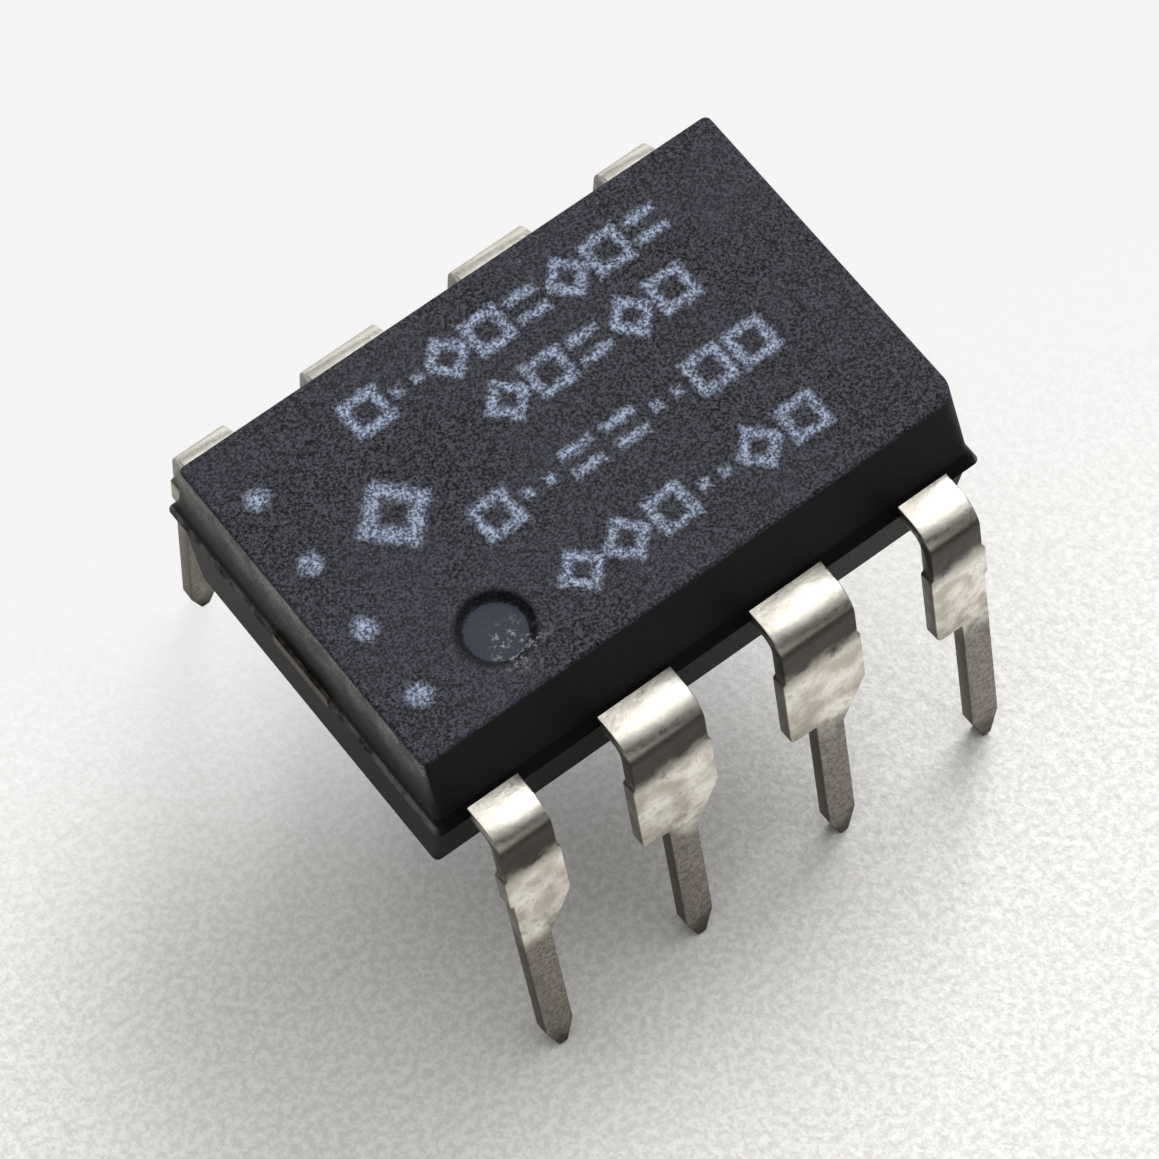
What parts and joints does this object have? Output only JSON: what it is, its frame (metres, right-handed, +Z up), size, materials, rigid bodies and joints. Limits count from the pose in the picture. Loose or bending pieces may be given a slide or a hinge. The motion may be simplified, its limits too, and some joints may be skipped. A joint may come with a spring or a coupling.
{
  "type": "dip integrated circuit chip",
  "caption": "Moulded plastic dual in-line chip package standing on two rows of splayed, stepped solder leads, with a round index dimple in its top.",
  "frame": {"origin": "centre of the package on the plane of its lead tips", "axes": "+X along the two lead rows, from lead 1 to lead 4; +Y across, toward the row of leads 5 to 8; +Z up, out of the top face"},
  "size_m": [0.0092, 0.0089, 0.0071],
  "materials": {
    "moulding_epoxy": "charcoal silica-filled moulding epoxy, fine satin grain with small pits and dusty scuffs",
    "tinned_lead": "dull solder-tinned sheet metal, bright on the bends, mottled grey-brown below with dark cut tips",
    "bare_leadframe": "bare copper alloy strip, tarnished where the tie bars were cut",
    "silver_epoxy": "silver-filled die adhesive",
    "silicon": "polished silicon",
    "gold_wire": "bright gold wire"
  },
  "bodies": {
    "root": {"moulded_body": "moulding_epoxy", "lead_1": "tinned_lead", "lead_2": "tinned_lead", "lead_3": "tinned_lead", "lead_4": "tinned_lead", "lead_5": "tinned_lead", "lead_6": "tinned_lead", "lead_7": "tinned_lead", "lead_8": "tinned_lead", "die_pad": "bare_leadframe", "die_attach": "silver_epoxy", "silicon_die": "silicon", "bond_wire_1": "gold_wire", "bond_wire_2": "gold_wire", "bond_wire_3": "gold_wire", "bond_wire_4": "gold_wire", "bond_wire_5": "gold_wire", "bond_wire_6": "gold_wire", "bond_wire_7": "gold_wire", "bond_wire_8": "gold_wire"}
  },
  "joints": []
}
